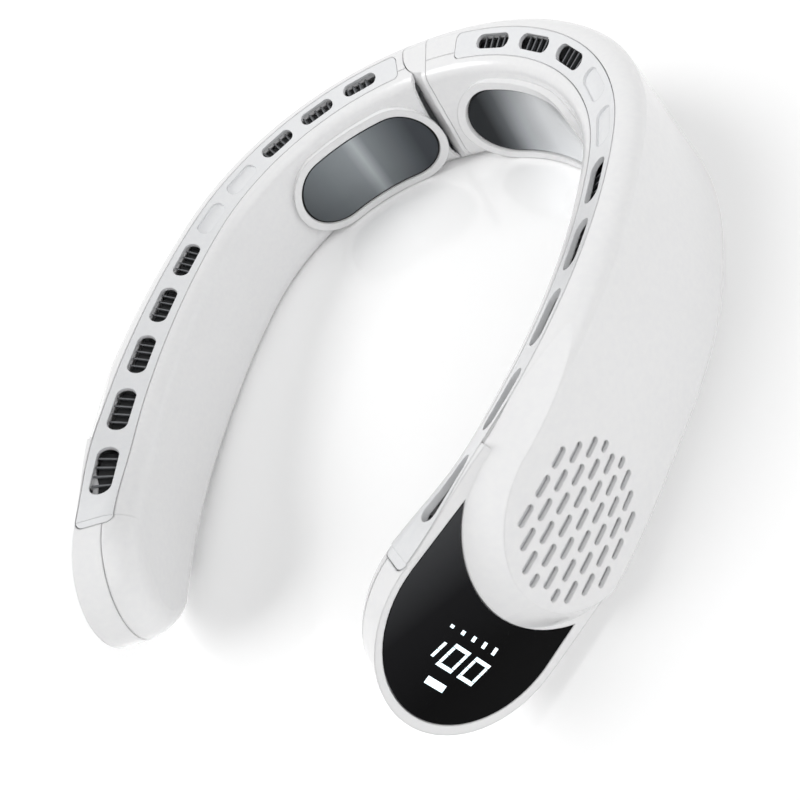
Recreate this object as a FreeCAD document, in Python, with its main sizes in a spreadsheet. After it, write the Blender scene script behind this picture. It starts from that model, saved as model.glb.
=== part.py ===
import FreeCAD, Part
import math
import os
import Sketcher
from FreeCAD import Vector

# Electric neck fan: two curved arms joined by a hinge at the back of the neck.
# +X is the wearer's left to right as seen from the front, +Y the back of the neck, +Z up.

doc = FreeCAD.newDocument("neck_fan")
sheet = doc.addObject("Spreadsheet::Sheet", "sizes")

driving_sizes = {
    # plan of the band, measured along the middle of the vent strip
    "back_radius": 74, "front_radius": 205, "arm_length": 246,
    # side view of the band
    "rest_height": 45.5, "end_height": 41, "taper_start": 150, "tilt_end": 23, "foot_flat_depth": 0.6,
    # section of the band
    "inner_depth": 8.5, "back_outer_depth": 13, "outer_depth": 10, "thin_start": 60, "thin_end": 130,
    "outer_flare": 5.3, "flare_start": 10, "flare_full": 90, "flare_fall": 125, "flare_end": 185,
    "shoulder_start": 4.5, "shoulder_drop": 5, "inner_foot_radius": 9, "outer_foot_radius": 4.5,
    "inner_top_radius": 4, "cap_round": 7, "top_roll": 25, "roll_fall": 205, "roll_end": 224,
    "corner_grow": 180,
    "wall": 1.6, "top_wall": 3.2, "section_step": 14, "seam": 0.2, "shell_split": 2.1, "overrun": 12,
    # vent strip
    "strip_neck_reach": 4.6, "strip_outer_reach": 4.4, "strip_corner": 2.2, "strip_thickness": 1.4,
    "strip_ledge": 0.7, "strip_start": 13, "strip_end": 226,
    "vent_first": 29.8, "vent_pitch": 20, "vent_count": 10, "vent_length": 14.5, "vent_width": 5.2,
    "blind_first": 4, "blind_last": 5, "blind_depth": 0.7,
    # fan nose and its grille
    "fan_station": 200, "fan_drop": 1.5, "nose_top_radius": 19.5, "nose_foot_radius": 26, "nose_rise": 6.5,
    "nose_drop": 1.5, "nose_back": 2.5, "flank_start": 165, "flank_clear": 3, "panel_level": 4.5,
    "grille_radius": 16.2, "grille_column_pitch": 3.3, "grille_pitch": 6.2, "grille_slot_length": 4.5,
    "grille_slot_width": 1.5, "grille_wall": 0.9, "mesh_rim": 1.2, "mesh_thickness": 0.4,
    # black end panel
    "panel_thickness": 1.1, "panel_floor": 1.2, "panel_rim": 1.7, "panel_lift": 0.4,
    # blower
    "motor_pad_radius": 7, "motor_pad_level": 4.9, "motor_base_thickness": 1.2, "bearing_tube_radius": 2.3,
    "bearing_radius": 1.5, "shaft_radius": 0.75, "running_clearance": 0.05, "stator_radius": 5,
    "stator_height": 4.4, "stator_pole_count": 6, "stator_slot_width": 1.5, "magnet_radius": 6.1,
    "magnet_thickness": 0.8, "hub_wall": 0.8, "hub_height": 8, "impeller_radius": 13.4, "blade_height": 8,
    "blade_thickness": 0.7, "blade_length": 5, "blade_count": 28, "impeller_plate": 0.9,
    "scroll_radius": 16.6, "scroll_wall": 1, "scroll_height": 11.9, "scroll_floor": 1, "air_gap": 0.7,
    "post_radius": 2, "post_circle": 12, "post_count": 3, "screw_radius": 0.8, "screw_head_radius": 1.5,
    "screw_head_height": 0.8, "screw_length": 2.8, "scroll_mouth_width": 20,
    # cooling plate
    "plate_station": 46, "plate_length": 60, "plate_height": 28.7, "plate_top": 12, "plate_proud": 1.7,
    "frame_width": 3, "frame_proud": 2.3, "seal_width": 0.8, "seal_proud": 1.1, "block_length": 22,
    "block_height": 20, "block_level": 5, "module_side": 20, "module_thickness": 3.6, "sink_length": 30,
    "sink_height": 22, "sink_base": 1.6, "sink_depth": 5.4, "fin_thickness": 0.8, "fin_count": 8,
    # battery and air duct
    "cell_station": 128, "cell_length": 44, "cell_height": 23, "cell_thickness": 9, "cell_top": 16,
    "cell_corner": 2, "rib_thickness": 2, "rib_share": 0.6, "duct_level": 12.5, "duct_thickness": 1.2,
    "duct_start": 92, "duct_end": 176,
    # hinge at the back
    "hinge_offset": 2, "barrel_radius": 8.2, "barrel_gap": 0.4, "lip_setback": 3.5, "lip_sagitta": 2.6,
    "plug_length": 9, "yoke_start": 13, "yoke_length": 12, "leaf_thickness": 3.5, "leaf_inset": 9,
    "leaf_half_width": 4, "leaf_gap": 0.35, "leaf_swing": 2.2, "pin_radius": 1.5, "pin_cover": 3,
    # boards, display and controls
    "board_thickness": 1, "board_length": 20, "board_width": 24, "board_gap": 0.15, "digit_height": 4.9,
    "digit_width": 4.3, "digit_pitch": 5.9, "digit_lean": 15, "segment_width": 0.75, "segment_gap": 0.1,
    "light_depth": 0.4, "light_lift": 1.3, "digit_forward": 8.6, "mark_forward": 4.4, "mark_pitch": 3,
    "mark_width": 0.9, "mark_height": 1.5, "bar_length": 5, "bar_width": 1.4, "bar_forward": 13.9,
    "button_radius": 3.6, "button_spacing": 10,
    "button_proud": 0.5, "button_flange": 0.8, "button_flange_height": 0.8, "button_travel": 0.35,
    "button_clearance": 0.15, "button_forward": 5, "switch_side": 4, "switch_height": 1.6,
    "port_width": 8.9, "port_height": 3.2, "port_depth": 7, "port_wall": 0.4, "port_tongue": 0.7,
    "port_station": 214, "port_clearance": 0.1,
}
for row, (alias, value) in enumerate(driving_sizes.items(), 1):
    sheet.set(f"A{row}", alias)
    sheet.set(f"B{row}", str(value))
    sheet.setAlias(f"B{row}", alias)
doc.recompute()


def size(alias):
    return float(sheet.get(alias))


wall = size("wall")
seam = size("seam")
over = size("overrun")
nodes = []


# Frames along the arm. T runs to the arm's end, A outward from the neck, B down.

quarter_length = math.pi / 2 * size("back_radius")
centre_y = 0


def tilt_at(station):
    return math.radians(size("tilt_end") * abs(station) / size("arm_length"))


def blend(station, start, end):
    share = min(max((station - start) / (end - start), 0), 1)
    return share * share * (3 - 2 * share)


def outer_at(station):
    thin = blend(station, size("thin_start"), size("thin_end"))
    return size("back_outer_depth") + thin * (size("outer_depth") - size("back_outer_depth"))


def flare_at(station):
    grown = blend(station, size("flare_start"), size("flare_full"))
    return size("outer_flare") * grown * (1 - blend(station, size("flare_fall"), size("flare_end")))


def section_height_at(station):
    fall = blend(station, size("taper_start"), size("arm_length"))
    rise = size("rest_height") + size("foot_flat_depth")
    rise = rise - fall * (rise - size("end_height"))
    foot = size("inner_foot_radius")
    centre_out = foot - size("inner_depth")
    tilt = tilt_at(station)
    return foot + (rise + centre_out * math.sin(tilt) - foot) / math.cos(tilt)


class Frame:
    def __init__(self, station):
        radius = size("back_radius")
        if station <= quarter_length:
            turn = station / radius
            outward = Vector(math.sin(turn), math.cos(turn), 0)
            self.origin = outward * radius
        else:
            turn = (station - quarter_length) / size("front_radius")
            outward = Vector(math.cos(turn), -math.sin(turn), 0)
            self.origin = outward * size("front_radius") + Vector(radius - size("front_radius"), 0, 0)
        self.origin = self.origin + Vector(0, centre_y, size("rest_height"))
        tilt = tilt_at(station)
        up = Vector(0, 0, 1)
        self.along = outward.cross(up)
        self.out = outward * math.cos(tilt) + up * math.sin(tilt)
        self.down = outward * math.sin(tilt) - up * math.cos(tilt)

    def at(self, along, out, down):
        return self.origin + self.along * along + self.out * out + self.down * down

    def placement(self, along=0, out=0, down=0):
        x, y, z = self.along, self.down, self.out
        base = self.at(along, out, down)
        rows = [(x.x, y.x, z.x, base.x), (x.y, y.y, z.y, base.y), (x.z, y.z, z.z, base.z), (0, 0, 0, 1)]
        return FreeCAD.Placement(FreeCAD.Matrix(*[value for row in rows for value in row]))


def placed(shape, frame, along=0, out=0, down=0):
    shape.Placement = frame.placement(along, out, down)
    return shape


def box(frame, along, out, down):
    lengths = [high - low for low, high in (along, down, out)]
    return placed(Part.makeBox(*lengths), frame, along[0], out[0], down[0])


def disc(frame, radius, out, along=0, down=0):
    return placed(Part.makeCylinder(radius, out[1] - out[0]), frame, along, out[0], down)


# Lofts along the arm.

def stations(start, end):
    count = max(2, math.ceil((end - start) / size("section_step")) + 1)
    return [start + (end - start) * step / (count - 1) for step in range(count)]


def loft(make_wire, start, end):
    return Part.makeLoft([make_wire(station) for station in stations(start, end)], True, False)


def arc(frame, centre_out, centre_down, radius, start_turn):
    points = []
    for quarter_share in (0, 0.5, 1):
        turn = math.radians(start_turn) + math.pi / 2 * quarter_share
        out, down = centre_out + radius * math.cos(turn), centre_down + radius * math.sin(turn)
        points.append(frame.at(0, out, down))
    return Part.Arc(*points).toShape()


# The top leans to the neck, from a ridge where the shoulder starts, and levels out at the arm's end.

full_roll = math.tan(math.radians(size("top_roll")))


def roll_at(station):
    return full_roll * (1 - blend(station, size("roll_fall"), size("roll_end")))


def top_drop(station, out):
    return -out * roll_at(station)


def shoulder_points(station, inset, top_inset):
    start, drop = size("shoulder_start"), size("shoulder_drop")
    width = outer_at(station) - start
    centre = (width * width + drop * drop) / (2 * drop)
    radius = centre - inset
    roll = roll_at(station)
    slant = math.hypot(1, roll)
    rise = top_inset * slant - centre
    first_out = (roll * rise + math.sqrt(slant * slant * radius * radius - rise * rise)) / (slant * slant)
    first_turn = math.asin(first_out / radius)
    last_turn = math.asin((width - inset) / radius)
    turns = (first_turn, (first_turn + last_turn) / 2, last_turn)
    middle = centre + top_drop(station, start)
    return [(start + radius * math.sin(turn), middle - radius * math.cos(turn)) for turn in turns]


def neck_corner_at(station):
    growth = blend(station, size("corner_grow"), size("roll_end"))
    return size("inner_top_radius") + growth * (size("cap_round") - size("inner_top_radius"))


def neck_corner_points(station, inset, top_inset):
    radius = max(neck_corner_at(station) - inset, inset)
    out = -size("inner_depth") + inset + radius
    roll = roll_at(station)
    down = (radius + top_inset) * math.hypot(1, roll) + top_drop(station, out)
    end_turn = math.atan2(1, roll)
    turns = (0, end_turn / 2, end_turn)
    return [(out - radius * math.cos(turn), down - radius * math.sin(turn)) for turn in turns]


def section_wire(station, inset, top_inset):
    frame = Frame(station)
    inner = -size("inner_depth")
    low_outer = outer_at(station) + flare_at(station)
    height = section_height_at(station)
    shoulder = [frame.at(0, out, down) for out, down in shoulder_points(station, inset, top_inset)]
    corner = [frame.at(0, out, down) for out, down in neck_corner_points(station, inset, top_inset)]
    foot, outer_foot = size("inner_foot_radius"), size("outer_foot_radius")
    outer_low = frame.at(0, low_outer - inset, height - outer_foot)
    foot_outer = frame.at(0, low_outer - outer_foot, height - inset)
    foot_inner = frame.at(0, inner + foot, height - inset)
    inner_low = frame.at(0, inner + inset, height - foot)
    edges = [
        Part.makeLine(corner[2], shoulder[0]),
        Part.Arc(*shoulder).toShape(),
        Part.makeLine(shoulder[2], outer_low),
        arc(frame, low_outer - outer_foot, height - outer_foot, outer_foot - inset, 0),
        Part.makeLine(foot_outer, foot_inner),
        arc(frame, inner + foot, height - foot, foot - inset, 90),
        Part.makeLine(inner_low, corner[0]),
        Part.Arc(*corner).toShape(),
    ]
    return Part.Wire(edges)


def slab(start, end, out, down):
    def wire(station):
        frame = Frame(station)
        (near, far), (high, low) = out, down
        corners = [(near, high), (far, high), (far, low), (near, low), (near, high)]
        return Part.makePolygon([frame.at(0, a, b) for a, b in corners])
    return loft(wire, start, end)


# The arm's rounded end, its lowered panel face and the round nose over the fan.

end_radius = section_height_at(size("arm_length")) / 2
end_station = size("arm_length") - end_radius
reach = 2 * size("rest_height")


def end_cap(frame, inset, level):
    radius = end_radius - inset
    inner = -size("inner_depth") + inset
    corner = max(size("cap_round") - inset, inset)
    diagonal = corner * math.sin(math.pi / 4)
    halfway = Vector(radius - corner + diagonal, 0, inner + corner - diagonal)
    profile = Part.Wire([
        Part.makeLine(Vector(0, 0, inner), Vector(radius - corner, 0, inner)),
        Part.Arc(Vector(radius - corner, 0, inner), halfway, Vector(radius, 0, inner + corner)).toShape(),
        Part.makeLine(Vector(radius, 0, inner + corner), Vector(radius, 0, level)),
        Part.makeLine(Vector(radius, 0, level), Vector(0, 0, level)),
        Part.makeLine(Vector(0, 0, level), Vector(0, 0, inner)),
    ])
    cap = Part.Face(profile).revolve(Vector(0, 0, 0), Vector(0, 0, 1), 360)
    return placed(cap, frame, 0, 0, section_height_at(end_station) / 2)


def nose_middle():
    return section_height_at(size("fan_station")) / 2 + size("nose_drop")


def nose_cone(frame, inset, panel_inset):
    rise = size("nose_rise")
    lean = (size("nose_foot_radius") - size("nose_top_radius")) / rise
    foot = size("nose_foot_radius") + lean * panel_inset - inset * math.hypot(1, lean)
    level = size("panel_level") - panel_inset
    cone = Part.makeCone(foot + lean * rise, foot - 2 * lean * rise, 3 * rise)
    return placed(cone, frame, -size("nose_back"), level - rise, nose_middle())


def flank_cut(inset):
    lean = (size("nose_foot_radius") - size("nose_top_radius")) / size("nose_rise")
    last = size("fan_station") - size("nose_back")
    foot = nose_middle() - size("nose_foot_radius") + inset * math.hypot(1, lean)
    near = size("panel_level")
    far = near + 2 * over

    def wire(station):
        frame = Frame(station)
        high = foot - size("flank_clear") * (1 - blend(station, size("flank_start"), last))
        low = high + lean * (far - near)
        corners = [(near, high), (far, low), (far, -4 * over), (near, -4 * over), (near, high)]
        return Part.makePolygon([frame.at(0, out, down) for out, down in corners])
    return loft(wire, size("flank_start"), size("fan_station"))


def arm_solid(inset, top_inset, panel_inset):
    body = loft(lambda station: section_wire(station, inset, top_inset), -size("yoke_start") - over,
                size("arm_length") + over)
    end_frame, fan_frame = Frame(end_station), Frame(size("fan_station"))
    level = size("panel_level") - panel_inset
    beyond = box(end_frame, (0, reach), (-reach, reach), (-reach, reach))
    body = body.cut(beyond.cut(end_cap(end_frame, inset, level)))
    above = box(end_frame, (-reach, reach), (level, reach), (-reach, reach))
    above = above.common(box(fan_frame, (-size("nose_back"), reach), (-reach, reach), (-reach, reach)))
    body = body.cut(above.cut(nose_cone(fan_frame, inset, panel_inset))).cut(flank_cut(inset))
    keep = Part.makeBox(4 * reach, 8 * reach, reach, Vector(-2 * reach, -4 * reach, inset))
    return body.common(keep)


def centre_shift():
    bounds = arm_solid(0, 0, 0).optimalBoundingBox(False)
    return -(bounds.YMin + bounds.YMax) / 2


centre_y = centre_shift()
panel_inset = size("panel_thickness") + size("panel_floor")
half_share = 0.5
envelope = arm_solid(0, 0, 0)
cavity = arm_solid(wall, size("top_wall"), panel_inset)
boss_limit = arm_solid(wall * half_share, size("top_wall") * half_share, panel_inset * half_share)
plug_core = arm_solid(wall + seam, size("top_wall") + seam, panel_inset + seam)
skin = envelope.cut(cavity)

fan_frame = Frame(size("fan_station"))
fan_middle = section_height_at(size("fan_station")) / 2 + size("fan_drop")
end_frame = Frame(end_station)
end_middle = section_height_at(end_station) / 2
plate_frame = Frame(size("plate_station"))
plate_middle = size("plate_top") + size("plate_height") / 2
cell_frame = Frame(size("cell_station"))
mirror_plane = (Vector(0, 0, 0), Vector(1, 0, 0))


grille_core = arm_solid(size("grille_wall"), size("top_wall"), panel_inset)
mesh_core = arm_solid(size("grille_wall") + seam, size("top_wall") + seam, panel_inset + seam)


def cut_each(shape, tools):
    for tool in tools:
        shape = shape.cut(tool)
    return shape


# Small solids shared by several pieces.

def stadium(frame, length, width, out, along=0, down=0):
    radius = width / 2
    straight = length / 2 - radius
    tops = [Vector(-straight, -radius, 0), Vector(straight, -radius, 0)]
    feet = [Vector(straight, radius, 0), Vector(-straight, radius, 0)]
    wire = Part.Wire([
        Part.makeLine(tops[0], tops[1]),
        Part.Arc(tops[1], Vector(straight + radius, 0, 0), feet[0]).toShape(),
        Part.makeLine(feet[0], feet[1]),
        Part.Arc(feet[1], Vector(-straight - radius, 0, 0), tops[0]).toShape(),
    ])
    prism = Part.Face(wire).extrude(Vector(0, 0, out[1] - out[0]))
    return placed(prism, frame, along, out[0], down)


def upright_stadium(frame, length, width, down):
    radius = width / 2
    straight = length / 2 - radius
    core = box(frame, (-straight, straight), (-radius, radius), down)
    ends = [Part.makeCylinder(radius, down[1] - down[0], frame.at(side * straight, 0, down[0]), frame.down)
            for side in (-1, 1)]
    return core.fuse(ends)


def leaning_stadium(station, length, width, depth):
    radius = width / 2
    straight = length / 2 - radius
    frame, roll = Frame(station), roll_at(station)
    slant = math.hypot(1, roll)
    middle = frame.at(0, 0, top_drop(station, 0))
    inward = (frame.down + frame.out * roll) * (1 / slant)
    across = (frame.out - frame.down * roll) * (1 / slant)
    lows = [middle + frame.along * side * straight + inward * depth[0] for side in (-1, 1)]
    corners = [lows[0] - across * radius, lows[1] - across * radius, lows[1] + across * radius,
               lows[0] + across * radius, lows[0] - across * radius]
    core = Part.Face(Part.makePolygon(corners)).extrude(inward * (depth[1] - depth[0]))
    return core.fuse([Part.makeCylinder(radius, depth[1] - depth[0], low, inward) for low in lows])


def strip_prism(shrink, depth):
    corner = size("strip_corner")
    start, end = size("strip_start") + shrink, size("strip_end") - shrink
    inner, outer = -size("strip_neck_reach") + shrink, size("strip_outer_reach") - shrink

    def wire(station):
        frame = Frame(station)
        inner_down, outer_down = depth + top_drop(station, inner), depth + top_drop(station, outer)
        corners = [(inner, -over), (outer, -over), (outer, outer_down), (inner, inner_down), (inner, -over)]
        return Part.makePolygon([frame.at(0, out, down) for out, down in corners])

    prism = loft(wire, start, end)
    inset = corner - size("running_clearance")
    for station, side in ((start, 1), (end, -1)):
        frame = Frame(station + side * inset)
        for out, turn in ((inner, 1), (outer, -1)):
            along = sorted((0, -side * 2 * corner))
            across = sorted((out - turn * corner, out + turn * inset))
            spare = box(frame, along, across, (-2 * over, 2 * over))
            middle = frame.at(0, out + turn * inset, -2 * over)
            prism = prism.cut(spare.cut(Part.makeCylinder(corner, 4 * over, middle, frame.down)))
    return prism


def vent_cuts():
    cuts = []
    for number in range(1, int(size("vent_count")) + 1):
        station = size("vent_first") + (number - 1) * size("vent_pitch")
        blind = size("blind_first") <= number <= size("blind_last")
        depth = size("blind_depth") if blind else over
        cuts.append(leaning_stadium(station, size("vent_length"), size("vent_width"), (-over, depth)))
    return cuts


def grille_cuts():
    cuts = []
    limit = size("grille_radius")
    width = size("grille_slot_width")
    columns = int(limit / size("grille_column_pitch"))
    rows = int(limit / size("grille_pitch")) + 1
    through = (size("panel_level"), size("outer_depth") + over)
    for column in range(-columns, columns + 1):
        down = column * size("grille_column_pitch")
        chord = math.sqrt(limit * limit - down * down) - width / 2
        for row in range(-rows, rows + 1):
            middle = (row + (column % 2) * half_share) * size("grille_pitch")
            reach_out = (size("grille_slot_length") - width) / 2
            low, high = max(middle - reach_out, -chord), min(middle + reach_out, chord)
            if low > high:
                continue
            along = (low + high) / 2
            length = high - low + width + size("running_clearance")
            cuts.append(stadium(fan_frame, length, width, through, along, fan_middle + down))
    return cuts


# Black end panel: the end's outline less a white rim and the nose's circle.

panel_foot = size("panel_level") - size("panel_thickness")


def panel_prism(shrink, out):
    radius = end_radius - size("panel_rim") - shrink
    middle = end_middle - size("panel_lift")
    straight = end_station - size("fan_station")
    prism = stadium(end_frame, straight + 2 * radius, 2 * radius, out, -straight / 2, middle)
    radius = size("nose_foot_radius") + shrink
    return prism.cut(disc(fan_frame, radius, (-reach, reach), -size("nose_back"), nose_middle()))


# Levels in the blower, measured outward along the fan's axis.

base_low = -size("motor_pad_level")
base_high = base_low + size("motor_base_thickness")
floor_high = base_low + size("scroll_floor")
impeller_low = floor_high + size("air_gap")
stator_low = base_high + size("air_gap")
post_turns = [2 * math.pi * post / size("post_count") for post in range(int(size("post_count")))]
post_circle = size("post_circle")
post_places = [(post_circle * math.cos(turn), post_circle * math.sin(turn)) for turn in post_turns]
button_places = [end_middle + side * size("button_spacing") / 2 for side in (-1, 1)]
flange_high = size("panel_level") - panel_inset - size("running_clearance")
flange_low = flange_high - size("button_flange_height")
switch_high = flange_low - size("button_travel") - size("running_clearance")
control_high = switch_high - size("switch_height")
control_low = control_high - size("board_thickness")
display_high = size("panel_level") - panel_inset - size("board_gap")


def board_box(out):
    half_length, half_width = size("board_length") / 2, size("board_width") / 2
    middle = size("button_forward")
    return box(end_frame, (middle - half_length, middle + half_length), out,
               (end_middle - half_width, end_middle + half_width))


def inner_bosses(side):
    root = -size("inner_depth") - over
    bosses = [disc(fan_frame, size("motor_pad_radius"), (root, base_low), 0, fan_middle)]
    for along, down in post_places:
        post = disc(fan_frame, size("post_radius"), (root, base_low), along, fan_middle + down)
        drill = disc(fan_frame, size("screw_radius"), (floor_high - size("screw_length"), over), along,
                     fan_middle + down)
        bosses.append(post.cut(drill))
    rib_half = size("rib_thickness") / 2
    corner = size("cell_corner")
    for end in (-1, 1):
        along = end * size("cell_length") / 2 * size("rib_share")
        rib_down = (size("cell_top") + corner, size("cell_top") + size("cell_height") - corner)
        rib_along = (along - rib_half, along + rib_half)
        bosses.append(box(cell_frame, rib_along, (root, -size("cell_thickness") / 2), rib_down))
    board_low = control_low if side == "left" else display_high - size("board_thickness")
    for end in (-1, 1):
        along = size("button_forward") + end * size("board_length") / 2 * size("rib_share")
        bosses.append(box(end_frame, (along - rib_half, along + rib_half), (root, board_low),
                          (end_middle - size("board_width") / 2 * size("rib_share"),
                           end_middle + size("board_width") / 2 * size("rib_share"))))
    return [boss.common(boss_limit) for boss in bosses]


# Hinge at the back of the neck, standing on a vertical pin.

pin_x = -size("hinge_offset")
pin_y = centre_y + size("back_radius") + (size("back_outer_depth") - size("inner_depth")) / 2
top = size("rest_height")


def upright(radius, low, high):
    return Part.makeCylinder(radius, high - low, Vector(pin_x, pin_y, low))


def block(x, y, z):
    return Part.makeBox(x[1] - x[0], y[1] - y[0], z[1] - z[0], Vector(x[0], y[0], z[0]))


def lip_cut():
    edge = pin_x - size("lip_setback")
    sagitta = size("lip_sagitta")
    half = top / 2
    radius = (half * half + sagitta * sagitta) / (2 * sagitta)
    centre = Vector(edge - sagitta + radius, pin_y - reach, half)
    bulge = Part.makeCylinder(radius, reach, centre, Vector(0, 1, 0))
    ahead = block((edge, reach * 2), (pin_y - reach, pin_y + reach), (-over, top + over))
    return [bulge, ahead, upright(size("barrel_radius") + size("barrel_gap"), -over, top + over)]


leaf_levels = [size("leaf_inset"), top - size("leaf_inset") - size("leaf_thickness")]


def leaf(low, grow, gap):
    half = size("leaf_half_width")
    high = low + size("leaf_thickness")
    arm = block((-size("yoke_start") - size("wall"), pin_x), (pin_y - half - grow, pin_y + half + grow),
                (low - gap, high + gap))
    return arm.fuse(upright(half + min(gap, grow), low - gap, high + gap))


# Shells, strips and panels of one arm, made on the right and mirrored for the left.

def trim_arm(shape, side):
    if side == "left":
        return cut_each(shape.mirror(*mirror_plane), lip_cut())
    return shape.common(block((0, reach * 2), (-4 * reach, 4 * reach), (-over, top + over)))


def add_shape(label, shape):
    piece = doc.addObject("Part::Feature", label)
    piece.Label = label
    piece.Shape = shape
    nodes.append(piece)
    return piece


def neck_side(split):
    return slab(-size("yoke_start") - 2 * over, size("arm_length") + 2 * over,
                (-size("inner_depth") - 2 * over, -split), (-over, size("rest_height") + 2 * over))


strip_foot = arm_solid(0, size("strip_thickness"), 0)
window_depth = size("top_wall") * math.hypot(1, full_roll) + seam
strip_seat = strip_prism(0, window_depth).cut(strip_foot)
strip_window = strip_prism(size("strip_ledge"), window_depth)
window_length, window_height = size("block_length") / 2 + seam, size("block_height") / 2 + seam
block_window = box(plate_frame, (-window_length, window_length), (-size("inner_depth") - 2 * over, over),
                   (plate_middle - window_height, plate_middle + window_height))
inner_blank = cut_each(skin.common(neck_side(size("shell_split") + seam)), [strip_seat, strip_window])


def inner_shell(side):
    shell = inner_blank.fuse(inner_bosses(side)).cut(block_window)
    return trim_arm(shell, side)


port_frame = Frame(size("port_station"))
port_foot = section_height_at(size("port_station"))


def port_prism(grow, down):
    return upright_stadium(port_frame, size("port_width") + 2 * grow, size("port_height") + 2 * grow, down)


def display_window():
    half = size("digit_pitch") + size("digit_width")
    forward = size("digit_height")
    return box(end_frame, (size("digit_forward") - forward, size("digit_forward") + forward),
               (display_high - seam, panel_foot + seam), (end_middle - half, end_middle + half))


def mesh_disc(radius):
    return disc(fan_frame, radius, (size("panel_level"), reach), 0, fan_middle)


grille_pocket = grille_core.common(mesh_disc(size("grille_radius") + size("mesh_rim")))
outer_blank = cut_each(skin, [neck_side(size("shell_split")), strip_seat, strip_window,
                              panel_prism(0, (panel_foot, reach)), grille_pocket,
                              Part.makeCompound(grille_cuts())])


def button_holes():
    hole = size("button_radius") + size("button_clearance")
    return [disc(end_frame, hole, (0, reach), size("button_forward"), down) for down in button_places]


def outer_shell(side):
    tools = [display_window()]
    if side == "left":
        tools = button_holes()
        tools.append(port_prism(size("port_clearance"), (port_foot - size("port_depth"), port_foot + over)))
    return trim_arm(cut_each(outer_blank, tools), side)


def vent_strip(side):
    strip = envelope.common(strip_prism(seam, window_depth)).cut(strip_foot)
    return trim_arm(strip.cut(Part.makeCompound(vent_cuts())), side)


# Display lights in the right panel: a three-figure number, a level row and a bar.

segment_shares = {
    "top": (0, 1), "foot": (0, -1), "upper_left": (-1, 1), "upper_right": (1, 1), "lower_left": (-1, -1),
    "lower_right": (1, -1),
}
figures = [
    ["upper_right", "lower_right"],
    ["top", "foot", "upper_left", "upper_right", "lower_left", "lower_right"],
    ["top", "foot", "upper_left", "upper_right", "lower_left", "lower_right"],
]
light_levels = (size("panel_level") - size("light_depth"), size("panel_level"))
light_middle = end_middle - size("light_lift")


def light(along, down, along_length, down_length, lean=0):
    halves = [(-half_share, -half_share), (half_share, -half_share), (half_share, half_share),
              (-half_share, half_share), (-half_share, -half_share)]
    corners = []
    for along_half, down_half in halves:
        corner_along = along + along_half * along_length
        shift = (size("digit_forward") - corner_along) * math.tan(math.radians(lean))
        corners.append(end_frame.at(corner_along, light_levels[0], down + down_half * down_length + shift))
    return Part.Face(Part.makePolygon(corners)).extrude(end_frame.out * size("light_depth"))


def display_digits():
    lights = []
    stroke, gap = size("segment_width"), size("segment_gap")
    rise = (size("digit_height") - stroke) / 2
    swing = (size("digit_width") - stroke) / 2
    upright_length = rise - stroke / 2 - gap - gap / 2
    upright_rise = (gap + upright_length) / 2
    for place, lit in enumerate(figures):
        middle = light_middle + (place - (len(figures) - 1) / 2) * size("digit_pitch")
        for name in lit:
            right, up = segment_shares[name]
            if right == 0:
                lights.append(light(size("digit_forward") - up * rise, middle, stroke, size("digit_width"),
                                    size("digit_lean")))
            else:
                lights.append(light(size("digit_forward") - up * upright_rise, middle + right * swing,
                                    upright_length, stroke, size("digit_lean")))
    return lights


mark_shares = [0.4, 0.55, 0.7, 0.85, 1]


def display_marks():
    lights = []
    for place, share in enumerate(mark_shares):
        middle = end_middle + (place - (len(mark_shares) - 1) / 2) * size("mark_pitch")
        height = size("mark_height") * share
        lights.append(light(size("mark_forward") - height / 2, middle, height, size("mark_width")))
    return lights


def display_bar():
    return light(size("bar_forward"), light_middle, size("bar_width"), size("bar_length"))


def end_panel(side):
    panel = panel_prism(seam, (panel_foot, size("panel_level")))
    if side == "left":
        panel = cut_each(panel, button_holes())
        return panel.mirror(*mirror_plane)
    return panel.cut(Part.makeCompound(display_digits() + display_marks() + [display_bar()]))


# Cooling plate, its seal and the raised white frame, laid on the curved neck face.

def plate_layer(proud):
    reach_along = size("plate_length") / 2 + size("frame_width") + over
    return slab(size("plate_station") - reach_along, size("plate_station") + reach_along,
                (-size("inner_depth") - proud, 0), (0, size("rest_height") + over))


def plate_prism(grow):
    return stadium(plate_frame, size("plate_length") + 2 * grow, size("plate_height") + 2 * grow,
                   (-reach / 2, 0), 0, plate_middle)


def cold_plate():
    plate = plate_layer(size("plate_proud")).common(plate_prism(0)).cut(envelope)
    half_length, half_height = size("block_length") / 2, size("block_height") / 2
    root = -size("inner_depth") - size("plate_proud") * half_share
    cold_block = box(plate_frame, (-half_length, half_length), (root, -size("block_level")),
                     (plate_middle - half_height, plate_middle + half_height))
    return plate.fuse(cold_block)


def plate_ring(low_grow, high_grow, proud):
    ring = plate_prism(high_grow).cut(plate_prism(low_grow))
    return plate_layer(proud).common(ring).cut(envelope)


def mirrored(shape):
    return shape.mirror(*mirror_plane)


def add_pair(name, shape):
    add_shape("right_" + name, shape)
    add_shape("left_" + name, mirrored(shape))


for side in ("right", "left"):
    add_shape(side + "_inner_shell", inner_shell(side))
    add_shape(side + "_outer_shell", outer_shell(side))
    add_shape(side + "_vent_strip", vent_strip(side))
    add_shape(side + "_end_panel", end_panel(side))

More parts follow.
